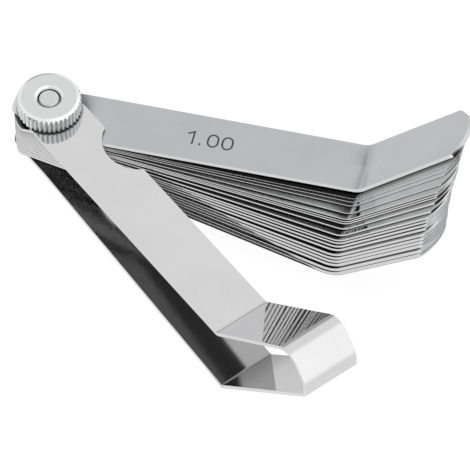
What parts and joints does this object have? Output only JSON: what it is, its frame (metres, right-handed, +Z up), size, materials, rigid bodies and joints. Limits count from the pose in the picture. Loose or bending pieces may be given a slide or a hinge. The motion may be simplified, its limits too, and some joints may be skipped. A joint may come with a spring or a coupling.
{
  "type": "curved feeler gauge",
  "caption": "Curved feeler gauge: bent thin steel leaves fan out on one stud from a folded steel case and are clamped by a knurled thumb nut, for measuring narrow gaps.",
  "frame": {"origin": "centre of the flat underside of the stud's head", "axes": "+Z up the stud's axis towards the thumb nut, +X along the folded case towards its nose; the leaves fan out towards +Y"},
  "size_m": [0.1104, 0.0721, 0.0402],
  "materials": {
    "case": "bright rolled spring steel sheet",
    "stud": "turned bright steel",
    "nut": "polished bright plated steel, straight knurling",
    "leaf": "bright hardened and ground spring steel strip"
  },
  "bodies": {
    "case": {"case": "case", "pivot_stud": "stud"},
    "knurled_nut": {"knurled_nut": "nut"},
    "leaf_1_00": {"leaf_1_00": "leaf"},
    "leaf_0_05": {"leaf_0_05": "leaf"},
    "leaf_0_10": {"leaf_0_10": "leaf"},
    "leaf_0_15": {"leaf_0_15": "leaf"},
    "leaf_0_20": {"leaf_0_20": "leaf"},
    "leaf_0_25": {"leaf_0_25": "leaf"},
    "leaf_0_30": {"leaf_0_30": "leaf"},
    "leaf_0_35": {"leaf_0_35": "leaf"},
    "leaf_0_40": {"leaf_0_40": "leaf"},
    "leaf_0_45": {"leaf_0_45": "leaf"},
    "leaf_0_50": {"leaf_0_50": "leaf"},
    "leaf_0_55": {"leaf_0_55": "leaf"},
    "leaf_0_60": {"leaf_0_60": "leaf"},
    "leaf_0_65": {"leaf_0_65": "leaf"},
    "leaf_0_70": {"leaf_0_70": "leaf"},
    "leaf_0_75": {"leaf_0_75": "leaf"},
    "leaf_0_80": {"leaf_0_80": "leaf"},
    "leaf_0_85": {"leaf_0_85": "leaf"},
    "leaf_0_90": {"leaf_0_90": "leaf"},
    "leaf_0_95": {"leaf_0_95": "leaf"}
  },
  "joints": [
    {"name": "nut_turn", "type": "hinge", "parent": "case", "child": "knurled_nut", "pos_m": [0, 0, 0.01537], "axis": [0, 0, 1], "range_deg": [0, 1890]},
    {"name": "swing_1_00", "type": "hinge", "parent": "case", "child": "leaf_1_00", "pos_m": [0, 0, 0.01454], "axis": [0, 0, 1], "continuous": true},
    {"name": "swing_0_05", "type": "hinge", "parent": "case", "child": "leaf_0_05", "pos_m": [0, 0, 0.01454], "axis": [0, 0, 1], "continuous": true},
    {"name": "swing_0_10", "type": "hinge", "parent": "case", "child": "leaf_0_10", "pos_m": [0, 0, 0.01454], "axis": [0, 0, 1], "continuous": true},
    {"name": "swing_0_15", "type": "hinge", "parent": "case", "child": "leaf_0_15", "pos_m": [0, 0, 0.01454], "axis": [0, 0, 1], "continuous": true},
    {"name": "swing_0_20", "type": "hinge", "parent": "case", "child": "leaf_0_20", "pos_m": [0, 0, 0.01454], "axis": [0, 0, 1], "continuous": true},
    {"name": "swing_0_25", "type": "hinge", "parent": "case", "child": "leaf_0_25", "pos_m": [0, 0, 0.01454], "axis": [0, 0, 1], "continuous": true},
    {"name": "swing_0_30", "type": "hinge", "parent": "case", "child": "leaf_0_30", "pos_m": [0, 0, 0.01454], "axis": [0, 0, 1], "continuous": true},
    {"name": "swing_0_35", "type": "hinge", "parent": "case", "child": "leaf_0_35", "pos_m": [0, 0, 0.01454], "axis": [0, 0, 1], "continuous": true},
    {"name": "swing_0_40", "type": "hinge", "parent": "case", "child": "leaf_0_40", "pos_m": [0, 0, 0.01454], "axis": [0, 0, 1], "continuous": true},
    {"name": "swing_0_45", "type": "hinge", "parent": "case", "child": "leaf_0_45", "pos_m": [0, 0, 0.01454], "axis": [0, 0, 1], "continuous": true},
    {"name": "swing_0_50", "type": "hinge", "parent": "case", "child": "leaf_0_50", "pos_m": [0, 0, 0.01454], "axis": [0, 0, 1], "continuous": true},
    {"name": "swing_0_55", "type": "hinge", "parent": "case", "child": "leaf_0_55", "pos_m": [0, 0, 0.01454], "axis": [0, 0, 1], "continuous": true},
    {"name": "swing_0_60", "type": "hinge", "parent": "case", "child": "leaf_0_60", "pos_m": [0, 0, 0.01454], "axis": [0, 0, 1], "continuous": true},
    {"name": "swing_0_65", "type": "hinge", "parent": "case", "child": "leaf_0_65", "pos_m": [0, 0, 0.01454], "axis": [0, 0, 1], "continuous": true},
    {"name": "swing_0_70", "type": "hinge", "parent": "case", "child": "leaf_0_70", "pos_m": [0, 0, 0.01454], "axis": [0, 0, 1], "continuous": true},
    {"name": "swing_0_75", "type": "hinge", "parent": "case", "child": "leaf_0_75", "pos_m": [0, 0, 0.01454], "axis": [0, 0, 1], "continuous": true},
    {"name": "swing_0_80", "type": "hinge", "parent": "case", "child": "leaf_0_80", "pos_m": [0, 0, 0.01454], "axis": [0, 0, 1], "continuous": true},
    {"name": "swing_0_85", "type": "hinge", "parent": "case", "child": "leaf_0_85", "pos_m": [0, 0, 0.01454], "axis": [0, 0, 1], "continuous": true},
    {"name": "swing_0_90", "type": "hinge", "parent": "case", "child": "leaf_0_90", "pos_m": [0, 0, 0.01454], "axis": [0, 0, 1], "continuous": true},
    {"name": "swing_0_95", "type": "hinge", "parent": "case", "child": "leaf_0_95", "pos_m": [0, 0, 0.01454], "axis": [0, 0, 1], "continuous": true}
  ]
}
